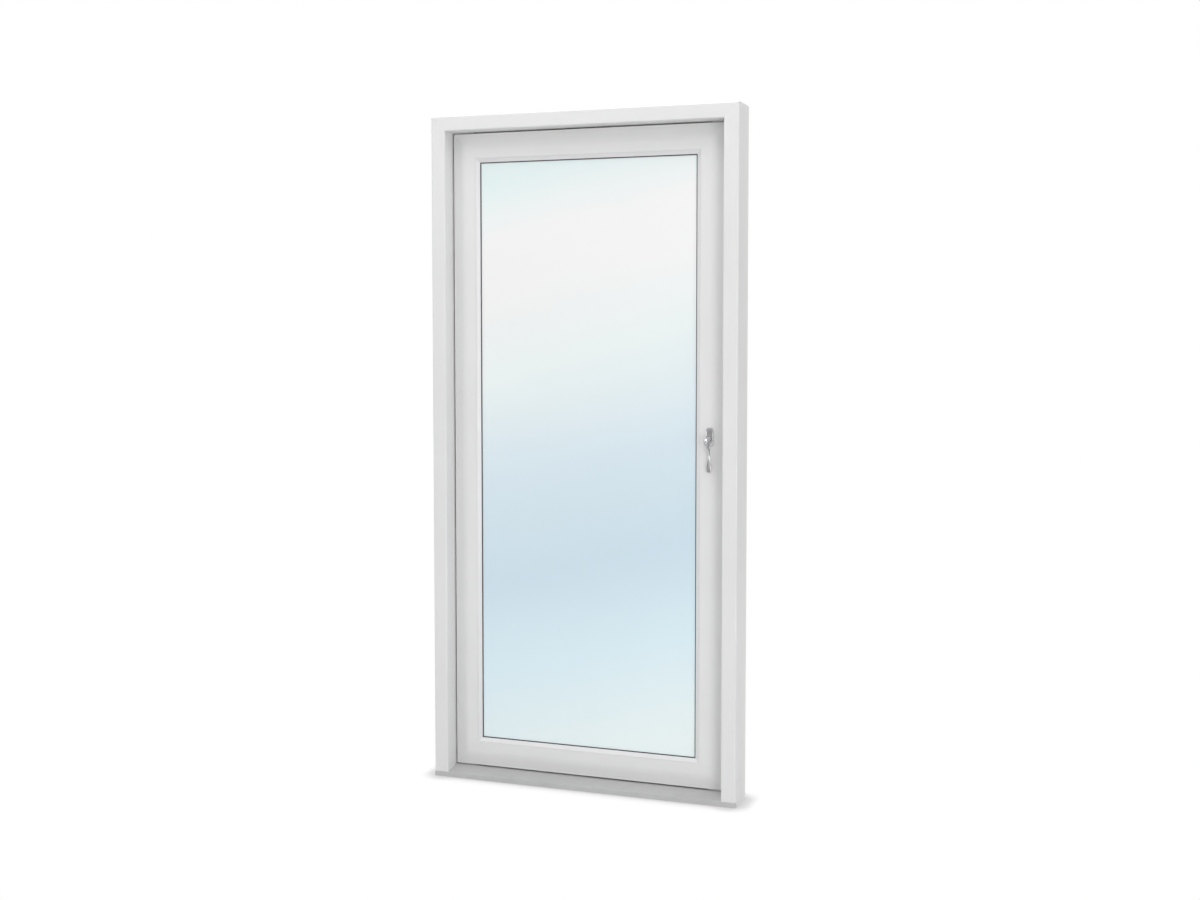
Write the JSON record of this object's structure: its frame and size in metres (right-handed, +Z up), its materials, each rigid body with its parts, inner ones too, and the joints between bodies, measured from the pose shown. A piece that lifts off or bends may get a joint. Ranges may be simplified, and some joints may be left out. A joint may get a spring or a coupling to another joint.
{
  "type": "casement window",
  "caption": "Full-height side-hung casement in timber with an aluminium outer skin, sealed glazing unit and cranked lever handles, opening outwards.",
  "frame": {"origin": "middle of the frame's footprint, on the underside of the sill", "axes": "+X along the width towards the handle side, +Y from outside to inside, +Z up"},
  "size_m": [0.99, 0.1628, 2.09],
  "materials": {
    "painted_timber": "white satin paint on pine",
    "white_skin": "white powder coat",
    "white_bead": "white powder coat, slightly cooler",
    "sill_metal": "matt natural anodised",
    "glass": "clear float glass",
    "seal_rubber": "matt",
    "edge_sealant": "matt",
    "spacer_metal": "matt",
    "plastic": "matt",
    "bare_wood": "bare beech",
    "handle_metal": "satin chrome",
    "zinc_steel": "zinc plated"
  },
  "bodies": {
    "frame": {"jamb_left": "painted_timber", "jamb_right": "painted_timber", "head": "painted_timber", "sill_timber": "painted_timber", "jamb_cladding_left": "white_skin", "jamb_cladding_right": "white_skin", "head_cladding": "white_skin", "sill_threshold": "sill_metal", "frame_corner_screws": "zinc_steel", "frame_hardware_screws": "zinc_steel", "jamb_keeps": "zinc_steel", "head_keep": "zinc_steel", "sill_keep": "zinc_steel", "hinge_frame_top": "zinc_steel", "hinge_frame_bottom": "zinc_steel"},
    "sash": {"bead_bottom": "white_bead", "bead_left": "white_bead", "bead_right": "white_bead", "bead_top": "white_bead", "edge_seal": "edge_sealant", "escutcheon_inner": "handle_metal", "escutcheon_outer": "handle_metal", "escutcheon_screws": "zinc_steel", "faceplate": "zinc_steel", "faceplate_screws": "zinc_steel", "gearbox_case": "zinc_steel", "gearbox_cover": "zinc_steel", "glass_inner": "glass", "glass_middle": "glass", "glass_outer": "glass", "glazing_gasket": "seal_rubber", "glazing_tape": "seal_rubber", "hinge_bushes": "plastic", "hinge_sash_bottom": "zinc_steel", "hinge_sash_screws": "zinc_steel", "hinge_sash_top": "zinc_steel", "sash_cladding_bottom": "white_skin", "sash_cladding_left": "white_skin", "sash_cladding_right": "white_skin", "sash_cladding_top": "white_skin", "sash_dowels": "bare_wood", "sash_rail_bottom": "painted_timber", "sash_rail_top": "painted_timber", "sash_seal": "seal_rubber", "sash_stile_left": "painted_timber", "sash_stile_right": "painted_timber", "setting_blocks": "plastic", "spacer_inner": "spacer_metal", "spacer_outer": "spacer_metal"},
    "handle": {"lever_outer": "handle_metal", "lever_inner": "handle_metal", "spindle": "zinc_steel", "pinion": "zinc_steel", "grub_screws": "zinc_steel"},
    "upper_rod": {"rod_upper": "zinc_steel", "locking_pin_upper": "zinc_steel"},
    "lower_rod": {"rod_lower": "zinc_steel", "locking_pin_lower": "zinc_steel"}
  },
  "joints": [
    {"name": "sash_swing", "type": "hinge", "parent": "frame", "child": "sash", "pos_m": [-0.4285, 0.009, 1.0355], "axis": [0, 0, -1], "range_deg": [0, 90]},
    {"name": "handle_turn", "type": "hinge", "parent": "sash", "child": "handle", "pos_m": [0.398, 0, 1.1], "axis": [0, 1, 0], "range_deg": [0, 90]},
    {"name": "upper_rod_slide", "type": "slide", "parent": "sash", "child": "upper_rod", "axis": [0, 0, 1], "range_m": [0, 0.0189]},
    {"name": "lower_rod_slide", "type": "slide", "parent": "sash", "child": "lower_rod", "axis": [0, 0, -1], "range_m": [0, 0.0189]}
  ],
  "couplings": [
    {"joint": "upper_rod_slide", "follows": "handle_turn", "m_per_rad": 0.012},
    {"joint": "lower_rod_slide", "follows": "handle_turn", "m_per_rad": 0.012}
  ]
}
